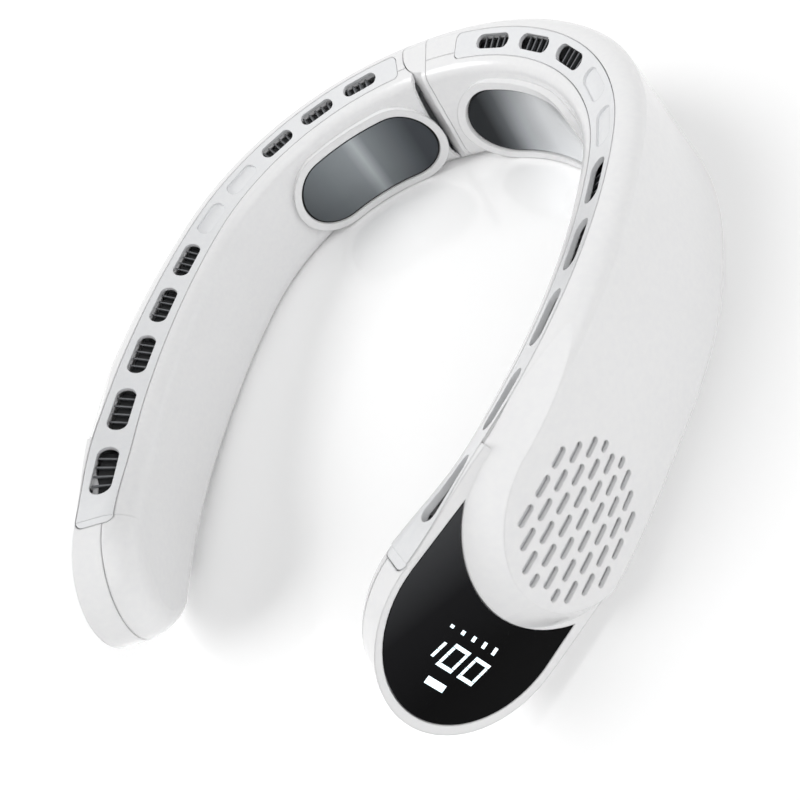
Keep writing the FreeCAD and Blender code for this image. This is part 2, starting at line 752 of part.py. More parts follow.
mesh_radius = size("grille_radius") + size("mesh_rim") - seam
mesh_inset = size("grille_wall") + seam + size("mesh_thickness")
below_mesh = arm_solid(mesh_inset, size("top_wall") + seam, panel_inset + seam)
dust_mesh = mesh_core.common(mesh_disc(mesh_radius)).cut(below_mesh.common(mesh_disc(mesh_radius + over)))
add_pair("dust_mesh", dust_mesh)
add_shape("display_digits", Part.makeCompound(display_digits()))
add_shape("display_marks", Part.makeCompound(display_marks()))
add_shape("display_bar", display_bar())
add_pair("cold_plate", cold_plate())
add_pair("plate_seal", plate_ring(0, size("seal_width"), size("seal_proud")))
frame_edge = size("seal_width") + size("frame_width")
add_pair("plate_frame", plate_ring(size("seal_width"), frame_edge, size("frame_proud")))


# Air duct floor between the blower and the vents, over the battery cell.

def duct_wire(station):
    frame = Frame(station)
    inner = -size("inner_depth") + wall + seam
    outer = outer_at(station) - wall - seam
    low, high = size("duct_level"), size("duct_level") + size("duct_thickness")
    corners = [(inner, low), (outer, low), (outer, high), (inner, high), (inner, low)]
    return Part.makePolygon([frame.at(0, out, down) for out, down in corners])


add_pair("air_duct", loft(duct_wire, size("duct_start"), size("duct_end")))


# Pieces made from primitives whose sizes follow the sheet.

def cylinder(name, radius, height, placement):
    piece = doc.addObject("Part::Cylinder", name)
    piece.setExpression("Radius", radius)
    piece.setExpression("Height", height)
    piece.Placement = placement
    return piece


def cuboid(name, length, width, height, placement):
    piece = doc.addObject("Part::Box", name)
    piece.setExpression("Length", length)
    piece.setExpression("Width", width)
    piece.setExpression("Height", height)
    piece.Placement = placement
    return piece


def cut(label, base, tool):
    piece = doc.addObject("Part::Cut", label)
    piece.Base = base
    piece.Tool = tool
    piece.Label = label
    return piece


def fuse(label, shapes):
    piece = doc.addObject("Part::MultiFuse", label)
    piece.Shapes = shapes
    piece.Label = label
    return piece


def node_pair(name, piece):
    piece.Label = "right_" + name
    nodes.append(piece)
    other = doc.addObject("Part::Mirroring", "left_" + name)
    other.Source = piece
    other.Base = mirror_plane[0]
    other.Normal = mirror_plane[1]
    other.Label = "left_" + name
    nodes.append(other)


def fan_place(level):
    return fan_frame.placement(0, level, fan_middle)


tube_height = "sizes.scroll_floor + sizes.hub_height - sizes.hub_wall - sizes.motor_base_thickness"


def motor_base():
    plate = cylinder("base_disc", "sizes.motor_pad_radius", "sizes.motor_base_thickness", fan_place(base_low))
    tube = cylinder("bearing_tube", "sizes.bearing_tube_radius", tube_height, fan_place(base_high))
    bore = cylinder("bearing_bore", "sizes.bearing_radius", tube_height, fan_place(base_high))
    return cut("motor_base", fuse("base_and_tube", [plate, tube]), bore)


def bearing():
    sleeve = cylinder("sleeve", "sizes.bearing_radius", tube_height, fan_place(base_high))
    bore = cylinder("sleeve_bore", "sizes.shaft_radius + sizes.running_clearance", tube_height,
                    fan_place(base_high))
    return cut("motor_bearing", sleeve, bore)


def stator():
    core = cylinder("stator_core", "sizes.stator_radius", "sizes.stator_height", fan_place(stator_low))
    bore = cylinder("stator_bore", "sizes.bearing_tube_radius", "sizes.stator_height", fan_place(stator_low))
    slots = []
    slot_start = (size("bearing_tube_radius") + size("stator_radius")) / 2
    offset = Vector(slot_start, -size("stator_slot_width") / 2, 0)
    for pole in range(int(size("stator_pole_count"))):
        turn = FreeCAD.Rotation(Vector(0, 0, 1), 360 * pole / size("stator_pole_count"))
        place = fan_place(stator_low) * FreeCAD.Placement(turn.multVec(offset), turn)
        slots.append(cuboid(f"stator_slot_{pole}", "sizes.stator_radius", "sizes.stator_slot_width",
                            "sizes.stator_height", place))
    return cut("motor_stator", core, fuse("stator_cuts", [bore] + slots))


def magnet():
    ring = cylinder("magnet_outer", "sizes.magnet_radius", "sizes.stator_height", fan_place(stator_low))
    bore = cylinder("magnet_inner", "sizes.magnet_radius - sizes.magnet_thickness", "sizes.stator_height",
                    fan_place(stator_low))
    return cut("rotor_magnet", ring, bore)


def shaft():
    height = "sizes.scroll_floor + sizes.air_gap + sizes.hub_height - sizes.motor_base_thickness"
    return cylinder("motor_shaft", "sizes.shaft_radius", height + " - sizes.running_clearance",
                    fan_place(base_high + size("running_clearance")))


def scroll():
    radius = "sizes.scroll_radius"
    wall_out = cylinder("scroll_outer", radius, "sizes.scroll_height", fan_place(base_low))
    wall_in = cylinder("scroll_inner", radius + " - sizes.scroll_wall", "sizes.scroll_height",
                       fan_place(floor_high))
    eye = cylinder("scroll_eye", "sizes.motor_pad_radius + sizes.seam", "sizes.scroll_floor * 2",
                   fan_place(base_low - size("scroll_floor") * half_share))
    mouth_down = fan_middle - 2 * size("scroll_radius")
    mouth = cuboid("scroll_mouth", radius + " * 2", radius + " + sizes.scroll_mouth_width",
                   "sizes.scroll_height",
                   fan_frame.placement(-2 * size("scroll_radius"), floor_high, mouth_down))
    holes = screw_shapes("scroll_hole")
    room = doc.addObject("Part::Feature", "arm_room")
    room.Shape = plug_core
    housing = doc.addObject("Part::Common", "fan_scroll")
    housing.Base = cut("scroll_blank", wall_out, fuse("scroll_cuts", [wall_in, eye, mouth] + holes))
    housing.Tool = room
    return housing


def screw_shape(name, along, down):
    head = doc.addObject("Part::Cone", name + "_head")
    head.setExpression("Radius1", "sizes.screw_radius")
    head.setExpression("Radius2", "sizes.screw_head_radius")
    head.setExpression("Height", "sizes.screw_head_height")
    head.Placement = fan_frame.placement(along, floor_high - size("screw_head_height"), fan_middle + down)
    shank = cylinder(name + "_shank", "sizes.screw_radius", "sizes.screw_length",
                     fan_frame.placement(along, floor_high - size("screw_length"), fan_middle + down))
    return fuse(name, [head, shank])


def screw_shapes(name):
    return [screw_shape(f"{name}_{number}", *place) for number, place in enumerate(post_places)]


def fan_screws():
    group = doc.addObject("Part::Compound", "fan_screws")
    group.Links = screw_shapes("fan_screw")
    return group


# Impeller: a flat ring of blades round a cup that covers the motor.

def body_sketch(body, name, level):
    sketch = body.newObject("Sketcher::SketchObject", name)
    plane = [item for item in body.Origin.OriginFeatures if item.Role == "XY_Plane"][0]
    sketch.AttachmentSupport = [(plane, "")]
    sketch.MapMode = "FlatFace"
    sketch.setExpression("AttachmentOffset.Base.z", level)
    return sketch


def sketch_circle(sketch, radius_expression):
    circle = sketch.addGeometry(Part.Circle(Vector(0, 0, 0), Vector(0, 0, 1), 1))
    sketch.addConstraint(Sketcher.Constraint("Coincident", circle, 3, -1, 1))
    radius = sketch.addConstraint(Sketcher.Constraint("Radius", circle, 1))
    sketch.setExpression(f"Constraints[{radius}]", radius_expression)


def sketch_rectangle(sketch, left, right, foot, head):
    corners = [Vector(0, 0, 0), Vector(1, 0, 0), Vector(1, 1, 0), Vector(0, 1, 0)]
    lines = [sketch.addGeometry(Part.LineSegment(corners[k], corners[(k + 1) % 4])) for k in range(4)]
    for k in range(4):
        sketch.addConstraint(Sketcher.Constraint("Coincident", lines[k], 2, lines[(k + 1) % 4], 1))
    for line, kind in zip(lines, ("Horizontal", "Vertical", "Horizontal", "Vertical")):
        sketch.addConstraint(Sketcher.Constraint(kind, line))
    places = [(lines[0], 1, "DistanceX", left), (lines[0], 2, "DistanceX", right),
              (lines[0], 1, "DistanceY", foot), (lines[2], 1, "DistanceY", head)]
    for line, point, kind, expression in places:
        number = sketch.addConstraint(Sketcher.Constraint(kind, -1, 1, line, point, 1))
        sketch.setExpression(f"Constraints[{number}]", expression)


def pad(body, sketch, length):
    feature = body.newObject("PartDesign::Pad", sketch.Name + "_pad")
    feature.Profile = sketch
    feature.setExpression("Length", length)
    doc.recompute()
    return feature


def impeller():
    body = doc.addObject("PartDesign::Body", "impeller_body")
    plate = body_sketch(body, "impeller_plate_sketch", "0")
    sketch_circle(plate, "sizes.impeller_radius")
    sketch_circle(plate, "sizes.magnet_radius")
    pad(body, plate, "sizes.impeller_plate")
    hub = body_sketch(body, "impeller_hub_sketch", "0")
    sketch_circle(hub, "sizes.magnet_radius + sizes.hub_wall")
    sketch_circle(hub, "sizes.magnet_radius")
    pad(body, hub, "sizes.hub_height")
    lid = body_sketch(body, "impeller_lid_sketch", "sizes.hub_height - sizes.hub_wall")
    sketch_circle(lid, "sizes.magnet_radius + sizes.hub_wall")
    sketch_circle(lid, "sizes.shaft_radius")
    pad(body, lid, "sizes.hub_wall")
    blade = body_sketch(body, "impeller_blade_sketch", "0")
    sketch_rectangle(blade, "sizes.impeller_radius - sizes.blade_length",
                     "sizes.impeller_radius - sizes.hub_wall",
                     "-sizes.blade_thickness / 2", "sizes.blade_thickness / 2")
    blade_pad = pad(body, blade, "sizes.impeller_plate + sizes.blade_height")
    ring = body.newObject("PartDesign::PolarPattern", "impeller_blades")
    ring.Originals = [blade_pad]
    ring.Axis = (blade, ["N_Axis"])
    ring.Angle = 360
    ring.setExpression("Occurrences", "sizes.blade_count")
    body.Tip = ring
    body.Placement = fan_place(impeller_low)
    return body


# Thermoelectric module and the finned sink behind the cooling plate.

def cooler_module():
    half = size("module_side") / 2
    return cuboid("cooler_module", "sizes.module_side", "sizes.module_side", "sizes.module_thickness",
                  plate_frame.placement(-half, -size("block_level"), plate_middle - half))


def heat_sink():
    body = doc.addObject("PartDesign::Body", "heat_sink_body")
    base = body_sketch(body, "sink_base_sketch", "0")
    sketch_rectangle(base, "-sizes.sink_length / 2", "sizes.sink_length / 2",
                     "-sizes.sink_height / 2", "sizes.sink_height / 2")
    pad(body, base, "sizes.sink_base")
    fin = body_sketch(body, "sink_fin_sketch", "0")
    sketch_rectangle(fin, "-sizes.sink_length / 2", "sizes.sink_length / 2",
                     "-sizes.sink_height / 2", "-sizes.sink_height / 2 + sizes.fin_thickness")
    fin_pad = pad(body, fin, "sizes.sink_base + sizes.sink_depth")
    row = body.newObject("PartDesign::LinearPattern", "sink_fins")
    row.Originals = [fin_pad]
    row.Direction = (fin, ["V_Axis"])
    row.setExpression("Length", "sizes.sink_height - sizes.fin_thickness")
    row.setExpression("Occurrences", "sizes.fin_count")
    body.Tip = row
    body.Placement = plate_frame.placement(0, size("module_thickness") - size("block_level"), plate_middle)
    return body


def battery_cell():
    place = cell_frame.placement(-size("cell_length") / 2, -size("cell_thickness") / 2, size("cell_top"))
    blank = cuboid("cell_blank", "sizes.cell_length", "sizes.cell_height", "sizes.cell_thickness", place)
    doc.recompute()
    cell = doc.addObject("Part::Fillet", "battery_cell")
    cell.Base = blank
    corner = size("cell_corner")
    cell.Edges = [(edge + 1, corner, corner) for edge in range(len(blank.Shape.Edges))]
    return cell


node_pair("motor_base", motor_base())
node_pair("motor_bearing", bearing())
node_pair("motor_stator", stator())
node_pair("rotor_magnet", magnet())
node_pair("motor_shaft", shaft())
node_pair("impeller", impeller())
node_pair("fan_scroll", scroll())
node_pair("fan_screws", fan_screws())
node_pair("cooler_module", cooler_module())
node_pair("heat_sink", heat_sink())
node_pair("battery_cell", battery_cell())


# Boards, push-buttons, their switches and the charging port.

add_shape("display_board", board_box((display_high - size("board_thickness"), display_high)))
add_shape("control_board", mirrored(board_box((control_low, control_high))))
for name, down in zip(("power_button", "cooling_button"), button_places):
    cap = disc(end_frame, size("button_radius"), (flange_low, size("panel_level") + size("button_proud")),
               size("button_forward"), down)
    flange = disc(end_frame, size("button_radius") + size("button_flange"), (flange_low, flange_high),
                  size("button_forward"), down)
    add_shape(name, mirrored(cap.fuse(flange)))
switches = []
switch_half = size("switch_side") / 2
for down in button_places:
    switch_along = (size("button_forward") - switch_half, size("button_forward") + switch_half)
    switches.append(mirrored(box(end_frame, switch_along, (control_high, switch_high),
                                 (down - switch_half, down + switch_half))))
add_shape("button_switches", Part.makeCompound(switches))

port_low = port_foot - size("port_depth")
port_shell = port_prism(0, (port_low, port_foot - wall * half_share))
port_shell = port_shell.cut(port_prism(-size("port_wall"), (port_low + size("port_wall"), port_foot)))
tongue_half = size("port_width") / 2 - size("port_height") / 2
tongue = box(port_frame, (-tongue_half, tongue_half), (-size("port_tongue") / 2, size("port_tongue") / 2),
             (port_low, port_foot - size("port_depth") * half_share))
add_shape("charging_port", mirrored(port_shell.fuse(tongue)))


# Hinge barrel on the right arm, yoke and pin on the left arm.

def across(start, end):
    return block((start, end), (pin_y - reach, pin_y + reach), (-over, top + over))


barrel_room = upright(size("barrel_radius"), -over, top + over).fuse(across(pin_x, -seam))
barrel = envelope.common(barrel_room.common(across(-reach, -seam)))
plug = plug_core.common(across(-seam * 2, size("plug_length")))
swing = size("leaf_swing")
barrel_cuts = [leaf(low, swing, size("leaf_gap")) for low in leaf_levels]
barrel_cuts.append(upright(size("pin_radius") + size("running_clearance"), -over, top - size("pin_cover")))
add_shape("hinge_barrel", barrel.fuse(plug).cut(barrel_cuts))

yoke = mirrored(plug_core).common(across(-size("yoke_start") - size("yoke_length"), -size("yoke_start")))
yoke = yoke.fuse([leaf(low, 0, 0) for low in leaf_levels]).cut(upright(size("pin_radius"), -over, top + over))
add_shape("hinge_yoke", yoke)
pin_low = size("foot_flat_depth")
add_shape("hinge_pin", upright(size("pin_radius"), pin_low, top - size("pin_cover") - seam))


# Every piece is checked before any file is written.

doc.recompute()
for item in doc.Objects:
    if "Invalid" in item.State or "Error" in item.State:
        raise RuntimeError("failed object: " + item.Label)
for piece in nodes:
    if piece.Shape.isNull() or not piece.Shape.isValid():
        raise RuntimeError("bad shape: " + piece.Label)
os.makedirs("parts", exist_ok=True)
for piece in nodes:
    piece.Shape.exportStep("parts/" + piece.Label + ".step")
for piece in nodes:
    print(piece.Label, len(piece.Shape.Solids), round(piece.Shape.Volume, 1))
bounds = FreeCAD.BoundBox()
for piece in nodes:
    bounds.add(piece.Shape.optimalBoundingBox(False))
print("bounds", bounds)
print("fan axis at", fan_frame.at(0, 0, fan_middle), "along", fan_frame.out)
print("panel axis at", end_frame.at(size("button_forward"), 0, end_middle), "along", end_frame.out)
for down in button_places:
    print("button at", end_frame.at(size("button_forward"), size("panel_level"), down))
print("pin at", pin_x, pin_y)
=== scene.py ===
import math
import bpy
from mathutils import Matrix, Vector


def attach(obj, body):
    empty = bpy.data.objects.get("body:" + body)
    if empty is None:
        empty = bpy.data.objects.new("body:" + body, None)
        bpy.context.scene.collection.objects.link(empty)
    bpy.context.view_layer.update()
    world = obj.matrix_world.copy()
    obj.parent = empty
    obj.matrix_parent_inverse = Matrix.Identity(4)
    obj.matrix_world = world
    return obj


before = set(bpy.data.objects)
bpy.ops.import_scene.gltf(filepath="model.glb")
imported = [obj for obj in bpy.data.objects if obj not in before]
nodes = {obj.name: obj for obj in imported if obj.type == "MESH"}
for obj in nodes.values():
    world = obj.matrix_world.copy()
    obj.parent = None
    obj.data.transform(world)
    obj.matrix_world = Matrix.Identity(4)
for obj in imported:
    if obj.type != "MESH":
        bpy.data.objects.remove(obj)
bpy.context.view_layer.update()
print("frame loaded, nodes:", len(nodes))


# camera, matched to the photograph by its edges
cameraView = {
    "place": (0.11237, -0.10304, 0.13958),
    "right": (0.88494, 0.20119, -0.42001),
    "up": (0.08349, 0.81873, 0.56808),
    "lens": 27.06,  # mm
    "sensor": 36,  # mm
    "shift": (-0.10, -0.10),
    "nearest": 0.005,  # m
}


def addCamera(view):
    right, up = Vector(view["right"]).normalized(), Vector(view["up"]).normalized()
    back = right.cross(up)
    up = back.cross(right)
    turn = Matrix((right, up, back)).transposed().to_4x4()
    camera = bpy.data.objects.new("photoCamera", bpy.data.cameras.new("photoCamera"))
    camera.matrix_world = Matrix.Translation(view["place"]) @ turn
    camera.data.sensor_fit = "HORIZONTAL"
    camera.data.sensor_width = view["sensor"]
    camera.data.lens = view["lens"]
    camera.data.shift_x, camera.data.shift_y = view["shift"]
    camera.data.clip_start = view["nearest"]
    bpy.context.scene.collection.objects.link(camera)
    bpy.context.scene.camera = camera


addCamera(cameraView)
print("camera placed")


# colours and nodes
def srgb(code):
    parts = [int(code[k:k + 2], 16) / 255 for k in (1, 3, 5)]
    linear = [p / 12.92 if p <= 0.04045 else ((p + 0.055) / 1.055) ** 2.4 for p in parts]
    return (*linear, 1.0)


def addNode(tree, kind, settings=None, links=None):
    node = tree.nodes.new(kind)
    for key, value in (settings or {}).items():
        if isinstance(key, int) or key in node.inputs:
            node.inputs[key].default_value = value
        else:
            setattr(node, key, value)
    for key, socket in (links or {}).items():
        tree.links.new(socket, node.inputs[key])
    return node


def newMaterial(name):
    material = bpy.data.materials.new(name)
    material.use_nodes = True
    tree = material.node_tree
    tree.nodes.clear()
    output = tree.nodes.new("ShaderNodeOutputMaterial")
    return material, tree, output


def perMetre(millimetres):
    return 1000 / millimetres


def setRamp(ramp, stops):
    elements = ramp.color_ramp.elements
    while len(elements) > 1:
        elements.remove(elements[0])
    elements[0].position, elements[0].color = stops[0][0], srgb(stops[0][1])
    for position, colour in stops[1:]:
        elements.new(position).color = srgb(colour)


# stage: white floor with a soft gloss, and a white world
stageLook = {
    "world": "#FFFFFF", "worldLight": 0.45,
    "floor": "#FFFFFF", "floorSize": 6.0, "floorDrop": 0.0002,
    "gloss": (0.08, 0.14), "index": 1.6,
    "haze": 90,  # mm, width of the uneven gloss
    "hazeDetail": 2.0,
    "lift": 0.08,  # the floor's own glow, seen but not cast on the fan
}


def addSeen(tree):
    path = addNode(tree, "ShaderNodeLightPath")
    seen = addNode(tree, "ShaderNodeMath", {"operation": "MAXIMUM"},
                   {0: path.outputs["Is Camera Ray"], 1: path.outputs["Is Glossy Ray"]})
    return addNode(tree, "ShaderNodeMath", {"operation": "MAXIMUM"},
                   {0: seen.outputs[0], 1: path.outputs["Is Transmission Ray"]})


def addStage(look):
    scene = bpy.context.scene
    scene.view_settings.view_transform = "Standard"
    world = bpy.data.worlds.new("studioWorld")
    scene.world = world
    world.use_nodes = True
    tree = world.node_tree
    tree.nodes.clear()
    seen = addSeen(tree)
    tone = srgb(look["world"])
    light = addNode(tree, "ShaderNodeBackground", {"Color": tone, "Strength": look["worldLight"]})
    white = addNode(tree, "ShaderNodeBackground", {"Color": tone, "Strength": 1.0})  # 1 shows as white
    mix = addNode(tree, "ShaderNodeMixShader", None,
                  {0: seen.outputs[0], 1: light.outputs[0], 2: white.outputs[0]})
    addNode(tree, "ShaderNodeOutputWorld", None, {"Surface": mix.outputs[0]})

    mesh = bpy.data.meshes.new("studioFloor")
    half = look["floorSize"] / 2
    corners = [(-half, -half, 0), (half, -half, 0), (half, half, 0), (-half, half, 0)]
    mesh.from_pydata(corners, [], [(0, 1, 2, 3)])
    floor = bpy.data.objects.new("studioFloor", mesh)
    floor.location.z = -look["floorDrop"]
    scene.collection.objects.link(floor)
    material, tree, output = newMaterial("acrylicPolishedWhite")  # gives the weak mirror image under the tips
    place = addNode(tree, "ShaderNodeTexCoord")
    haze = addNode(tree, "ShaderNodeTexNoise", {
        "Scale": perMetre(look["haze"]), "Detail": look["hazeDetail"]}, {
        "Vector": place.outputs["Object"]})
    gloss = addNode(tree, "ShaderNodeMapRange", {"To Min": look["gloss"][0], "To Max": look["gloss"][1]},
                    {"Value": haze.outputs["Fac"]})
    lift = addNode(tree, "ShaderNodeMapRange", {"To Max": look["lift"]}, {"Value": addSeen(tree).outputs[0]})
    base = addNode(tree, "ShaderNodeBsdfPrincipled", {
        "Base Color": srgb(look["floor"]), "IOR": look["index"], "Emission Color": srgb(look["floor"])}, {
        "Roughness": gloss.outputs[0], "Emission Strength": lift.outputs[0]})
    tree.links.new(base.outputs[0], output.inputs["Surface"])
    mesh.materials.append(material)


lampLooks = {
    "keySun": {"from": (-0.6, -0.25, 0.8), "angle": 32, "strength": 1.3},
    "fillSun": {"from": (0.75, -0.15, 0.6), "angle": 60, "strength": 0.85},
}


def addLamp(name, look):
    data = bpy.data.lights.new(name, "SUN")
    data.energy = look["strength"]
    data.angle = math.radians(look["angle"])
    lamp = bpy.data.objects.new(name, data)
    lamp.location = look["from"]
    lamp.rotation_euler = (-Vector(look["from"])).to_track_quat("-Z", "Y").to_euler()
    bpy.context.scene.collection.objects.link(lamp)


addStage(stageLook)
for lampName, lampLook in lampLooks.items():
    addLamp(lampName, lampLook)
print("stage lit")


# a tone that runs along a line in the piece's own space, from its start to its end in metres; it carries the
# painted reflections of the panels and plates
def addSweep(tree, start, end, stops):
    run = Vector(end) - Vector(start)
    length = run.length
    place = addNode(tree, "ShaderNodeTexCoord")
    offset = addNode(tree, "ShaderNodeVectorMath", {"operation": "SUBTRACT", 1: start},
                     {0: place.outputs["Object"]})
    share = addNode(tree, "ShaderNodeVectorMath", {"operation": "DOT_PRODUCT", 1: run / (length * length)},
                    {0: offset.outputs[0]})
    ramp = addNode(tree, "ShaderNodeValToRGB", None, {"Fac": share.outputs["Value"]})
    setRamp(ramp, stops)
    return ramp


armSides = {"right": 1, "left": -1}  # sign of x on each arm


def onSide(side, point):
    return (side * point[0], point[1], point[2])


# one surface: tone, gloss and relief from a grain of real size, edges softened in the shading
surfaceBase = {
    "detail": 3.0, "tintStart": 0.3, "tintEnd": 0.7, "reliefDepth": 0.00005, "edgeSamples": 4,
    "stretch": (1, 1, 1), "metal": 0.0, "index": 1.5, "mirror": 0.5, "coat": 0.0, "coatGloss": 0.12,
}


def surface(name, ownLook, sweep=None):
    look = {**surfaceBase, **ownLook}
    material, tree, output = newMaterial(name)
    place = addNode(tree, "ShaderNodeTexCoord")
    spread = addNode(tree, "ShaderNodeMapping", {"Scale": look["stretch"]},
                     {"Vector": place.outputs["Object"]})
    grain, cloud = [
        addNode(tree, "ShaderNodeTexNoise", {"Scale": perMetre(look[width]), "Detail": look["detail"]},
                {"Vector": spread.outputs[0]})
        for width in ("grain", "cloud")]
    # a sweep paints a reflection into the colour instead of the grain's tint
    if sweep:
        tint = addSweep(tree, *sweep)
    else:
        tint = addNode(tree, "ShaderNodeValToRGB", None, {"Fac": grain.outputs["Fac"]})
        setRamp(tint, [(look["tintStart"], look["dark"]), (look["tintEnd"], look["light"])])
    gloss = addNode(tree, "ShaderNodeMapRange", {"To Min": look["gloss"][0], "To Max": look["gloss"][1]},
                    {"Value": cloud.outputs["Fac"]})
    edge = addNode(tree, "ShaderNodeBevel", {"samples": look["edgeSamples"], "Radius": look["edge"] / 1000})
    relief = addNode(tree, "ShaderNodeBump", {"Strength": look["relief"], "Distance": look["reliefDepth"]},
                     {"Height": grain.outputs["Fac"], "Normal": edge.outputs[0]})
    base = addNode(tree, "ShaderNodeBsdfPrincipled", {
        "Metallic": look["metal"], "IOR": look["index"], "Specular IOR Level": look["mirror"],
        "Coat Weight": look["coat"], "Coat Roughness": look["coatGloss"]}, {
        "Base Color": tint.outputs["Color"], "Roughness": gloss.outputs[0], "Normal": relief.outputs[0]})
    tree.links.new(base.outputs[0], output.inputs["Surface"])
    return material


# grain is the width of the fine texture, cloud that of the uneven gloss, edge a softened radius, all in mm
# threads, grinding lines and grit are finer in the real thing and are drawn coarse enough to show
surfaceLooks = {
    # ABS, gloss moulded: smooth white skin with a faint orange peel and slightly uneven gloss
    "absGlossWhite": {
        "light": "#F5F5F5", "dark": "#F2F2F3", "grain": 1.6, "cloud": 38, "gloss": (0.19, 0.26),
        "relief": 0.05, "edge": 0.6, "coat": 0.15, "index": 1.53},
    # ABS, gloss moulded apart from the shells: a cooler white that lets the strip read as its own piece
    "absGlossCoolWhite": {
        "light": "#F0F1F2", "dark": "#EDEEF0", "grain": 1.6, "cloud": 30, "gloss": (0.2, 0.26),
        "relief": 0.05, "edge": 0.35, "coat": 0.1, "index": 1.53},
    # silicone rubber, moulded: dull black line round the plates
    "siliconeMouldedBlack": {
        "light": "#1A1A1B", "dark": "#0E0E0F", "grain": 0.7, "cloud": 5, "gloss": (0.5, 0.7),
        "relief": 0.15, "edge": 0.15, "index": 1.43},
    # ABS, spark-textured dark grey: the soft shade inside the air slots
    "absSparkedGrey": {
        "light": "#4E5053", "dark": "#3C3E41", "grain": 0.5, "cloud": 7, "gloss": (0.45, 0.6),
        "relief": 0.2, "edge": 0.2},
    # ABS, spark-textured near black: on the louvre tray a painted shade that stands for the depth behind the
    # vanes, and the own black of the switch bodies
    "absSparkedBlackAndPaintedShade": {
        "light": "#1C1D1F", "dark": "#121315", "grain": 0.5, "cloud": 7, "gloss": (0.5, 0.65),
        "relief": 0.2, "edge": 0.2},
    # ABS, moulded mid grey: vanes that catch a little light in the slots
    "absMouldedMidGrey": {
        "light": "#7E8083", "dark": "#6A6C6F", "grain": 0.8, "cloud": 6, "gloss": (0.35, 0.5),
        "relief": 0.1, "edge": 0.15},
    # ABS, moulded pale grey: a soft line in the gaps of the back joint
    "absMouldedPaleGrey": {
        "light": "#B4B6B8", "dark": "#9FA1A4", "grain": 0.8, "cloud": 6, "gloss": (0.35, 0.5),
        "relief": 0.1, "edge": 0.15},
    # nylon, woven: pale mesh floor behind the grille slots
    "nylonWovenWhite": {
        "light": "#DADBDD", "dark": "#C6C7C9", "grain": 0.35, "cloud": 6, "gloss": (0.5, 0.7),
        "relief": 0.5, "edge": 0.1},
    # steel, zinc plated and passivated: bluish satin on fixings and the motor foot
    "steelZincPlated": {
        "light": "#C9CCCF", "dark": "#B2B6BA", "grain": 0.4, "cloud": 3, "gloss": (0.28, 0.42),
        "relief": 0.08, "edge": 0.15, "metal": 1.0},
    # steel, ground: fine bright turning lines on pins and shafts
    "steelGround": {
        "light": "#D2D3D5", "dark": "#BFC1C3", "grain": 0.2, "cloud": 2, "gloss": (0.18, 0.26),
        "relief": 0.08, "edge": 0.1, "metal": 1.0, "stretch": (1, 1, 6)},
    # bronze, sintered: brown, dull and grainy
    "bronzeSintered": {
        "light": "#A9794A", "dark": "#8C5F36", "grain": 0.15, "cloud": 2, "gloss": (0.45, 0.6),
        "relief": 0.3, "edge": 0.1, "metal": 1.0},
    # copper, wound and lacquered: warm sheen
    "copperLacquered": {
        "light": "#C77B4A", "dark": "#A85F32", "grain": 0.3, "cloud": 2, "gloss": (0.29, 0.4),
        "relief": 0.3, "edge": 0.15, "metal": 1.0},
    # ferrite, bonded: flat dark grey
    "ferriteBonded": {
        "light": "#3A3A3D", "dark": "#2B2B2E", "grain": 0.2, "cloud": 2, "gloss": (0.5, 0.65),
        "relief": 0.2, "edge": 0.1},
    # alumina, fired: chalky white faces of the cooler
    "aluminaFired": {
        "light": "#EDEBE4", "dark": "#E0DED6", "grain": 0.3, "cloud": 4, "gloss": (0.55, 0.7),
        "relief": 0.15, "edge": 0.15},
    # aluminium, extruded: pale metal with lines along the fins
    "aluminiumExtruded": {
        "light": "#D0D2D4", "dark": "#BABDC0", "grain": 0.5, "cloud": 4, "gloss": (0.3, 0.42),
        "relief": 0.12, "edge": 0.12, "metal": 1.0, "stretch": (0.3, 0.3, 3)},
    # foil pouch, heat sealed: silvery grey with soft creases
    "foilHeatSealed": {
        "light": "#B9BEC4", "dark": "#A4A9B0", "grain": 1.5, "cloud": 8, "gloss": (0.3, 0.45),
        "relief": 0.3, "edge": 0.4, "metal": 0.6},
    # glass-fibre board, solder masked: satin green with a faint weave
    "boardSolderMasked": {
        "light": "#1F6B3C", "dark": "#17562F", "grain": 0.4, "cloud": 5, "gloss": (0.3, 0.42),
        "relief": 0.15, "edge": 0.1},
}
surfaces = {name: surface(name, look) for name, look in surfaceLooks.items()}


# ABS, piano gloss moulded: deep black; the grey towards its upper edge is a painted reflection in its colour
panelLook = {
    "grain": 1.2, "cloud": 9, "gloss": (0.1, 0.2), "relief": 0.02, "edge": 0.2, "mirror": 0.04,
    "sweepStart": (0.052, -0.078, 0.046), "sweepEnd": (0.06, -0.1, 0.008),
    "paintedReflectionTones": [(0.0, "#454648"), (0.3, "#19191B"), (0.65, "#050506")],
}


def paintedReflectionBlack(name, side):
    start, end = onSide(side, panelLook["sweepStart"]), onSide(side, panelLook["sweepEnd"])
    return surface(name, panelLook, (start, end, panelLook["paintedReflectionTones"]))


# stainless steel, polished: dark mirror with hair-fine lines; its soft bands of reflected light are painted
# reflections in its colour
plateLook = {
    "grain": 0.6, "cloud": 12, "gloss": (0.16, 0.26), "relief": 0.03, "edge": 0.4, "metal": 1.0,
    "stretch": (0.25, 0.25, 2.5), "sweepStart": (0.068, 0.058, 0.02), "sweepEnd": (0.018, 0.086, 0.02),
    "leftPaintedReflections": [(0.0, "#4A4D50"), (0.3, "#6E7376"), (0.52, "#878C8F"), (0.6, "#A9AEB1"), (0.68, "#7B8083"),
                  (1.0, "#43464A")],
    "rightPaintedReflections": [(0.0, "#ECEDEE"), (0.5, "#DADCDE"), (0.72, "#A2A5A8"), (0.88, "#56595C"),
                   (1.0, "#2E3032")],
}


def steelPolished(name, side, paintedReflections):
    start, end = onSide(side, plateLook["sweepStart"]), onSide(side, plateLook["sweepEnd"])
    return surface(name, plateLook, (start, end, paintedReflections))


